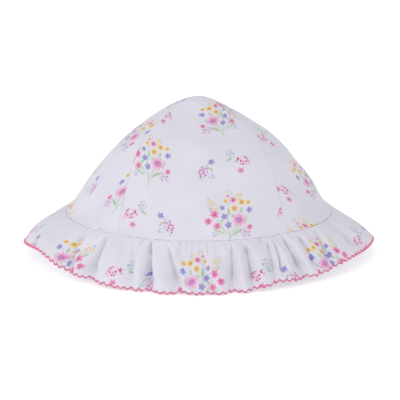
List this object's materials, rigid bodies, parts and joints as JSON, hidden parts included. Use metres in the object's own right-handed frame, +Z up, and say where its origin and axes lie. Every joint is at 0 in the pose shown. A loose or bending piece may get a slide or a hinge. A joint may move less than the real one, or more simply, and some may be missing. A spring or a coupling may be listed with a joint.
{
  "type": "floppy sun hat",
  "caption": "Small child's soft sun hat: a dome crown of sewn gores with a gathered ruffle brim, edged in scalloped thread, standing on its brim.",
  "frame": {"origin": "on the surface that the hat stands on, under the middle of its brim", "axes": "+Z up through the crown's tip, -Y towards the front, +X towards the right as seen from the front"},
  "size_m": [0.2149, 0.1842, 0.0939],
  "materials": {
    "printed_cotton": "soft matt cotton jersey, white with a small scattered flower print",
    "edging_thread": "rose pink crocheted thread with a slight sheen"
  },
  "bodies": {
    "root": {"crown_gore_front": "printed_cotton", "crown_gore_right": "printed_cotton", "crown_gore_back": "printed_cotton", "crown_gore_left": "printed_cotton", "ruffle_brim": "printed_cotton", "picot_edging": "edging_thread"}
  },
  "joints": []
}
